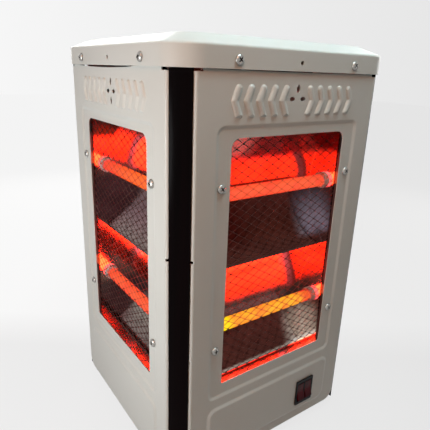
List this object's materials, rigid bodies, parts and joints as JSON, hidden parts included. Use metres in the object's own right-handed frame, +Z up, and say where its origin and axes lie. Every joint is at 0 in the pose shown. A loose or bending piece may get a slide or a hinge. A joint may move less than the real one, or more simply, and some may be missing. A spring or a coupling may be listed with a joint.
{
  "type": "quartz heater",
  "caption": "Free-standing square tower heater with guarded quartz tubes and trough reflectors on every side and in the top, with rocker switches in the front panel.",
  "frame": {"origin": "on the floor under the tower's axis, at the bottom centre of the overall box", "axes": "+Z up, -Y out of the face with the rocker switches, +X to the right of someone who looks at that face"},
  "size_m": [0.245, 0.2484, 0.409],
  "materials": {
    "casing_paint": "satin warm grey-white paint",
    "corner_post": "glossy black",
    "guard_wire": "heat-darkened steel net",
    "reflector": "polished",
    "quartz_tube": "glowing quartz with glazed ends",
    "screw": "plated",
    "base_pan": "matt grey",
    "foot": "matt",
    "switch_black": "satin black",
    "rocker_lens": "dark red lens",
    "terminal_ceramic": "unglazed",
    "lead_sleeve": "woven heat sleeve"
  },
  "bodies": {
    "casing": {"panel_front": "casing_paint", "panel_left": "casing_paint", "panel_rear": "casing_paint", "panel_right": "casing_paint", "top_cap": "casing_paint", "post_front_left": "corner_post", "post_rear_left": "corner_post", "post_rear_right": "corner_post", "post_front_right": "corner_post", "guard_front": "guard_wire", "guard_left": "guard_wire", "guard_rear": "guard_wire", "guard_right": "guard_wire", "guard_top": "guard_wire", "reflector_front": "reflector", "reflector_left": "reflector", "reflector_rear": "reflector", "reflector_right": "reflector", "reflector_top": "reflector", "tube_front_upper": "quartz_tube", "tube_front_lower": "quartz_tube", "tube_left_upper": "quartz_tube", "tube_left_lower": "quartz_tube", "tube_rear_upper": "quartz_tube", "tube_rear_lower": "quartz_tube", "tube_right_upper": "quartz_tube", "tube_right_lower": "quartz_tube", "tube_top_rear": "quartz_tube", "tube_top_front": "quartz_tube", "cap_screw_front_l": "screw", "cap_screw_front_r": "screw", "cap_screw_left_l": "screw", "cap_screw_left_r": "screw", "cap_screw_rear_l": "screw", "cap_screw_rear_r": "screw", "cap_screw_right_l": "screw", "cap_screw_right_r": "screw", "panel_screw_front_upper_l": "screw", "panel_screw_front_upper_r": "screw", "panel_screw_front_lower_l": "screw", "panel_screw_front_lower_r": "screw", "panel_screw_left_upper_l": "screw", "panel_screw_left_upper_r": "screw", "panel_screw_left_lower_l": "screw", "panel_screw_left_lower_r": "screw", "base_pan": "base_pan", "foot_front_left": "foot", "foot_front_right": "foot", "foot_rear_left": "foot", "foot_rear_right": "foot", "switch_body": "switch_black", "cable_gland": "switch_black", "tilt_switch": "switch_black", "terminal_block": "terminal_ceramic", "supply_lead": "lead_sleeve", "switch_lead": "lead_sleeve"},
    "rocker_left": {"rocker_left": "rocker_lens"},
    "rocker_right": {"rocker_right": "rocker_lens"},
    "tilt_plunger": {"tilt_plunger": "switch_black"}
  },
  "joints": [
    {"name": "rocker_left_press", "type": "hinge", "parent": "casing", "child": "rocker_left", "pos_m": [0.04197, -0.115, 0.0448], "axis": [1, 0, 0], "range_deg": [0, 18]},
    {"name": "rocker_right_press", "type": "hinge", "parent": "casing", "child": "rocker_right", "pos_m": [0.05323, -0.115, 0.0448], "axis": [1, 0, 0], "range_deg": [0, 18]},
    {"name": "tilt_plunger_slide", "type": "slide", "parent": "casing", "child": "tilt_plunger", "axis": [0, 0, -1], "range_m": [0, 0.005], "stiffness_N_per_m": 60, "springref_m": 0.008}
  ]
}
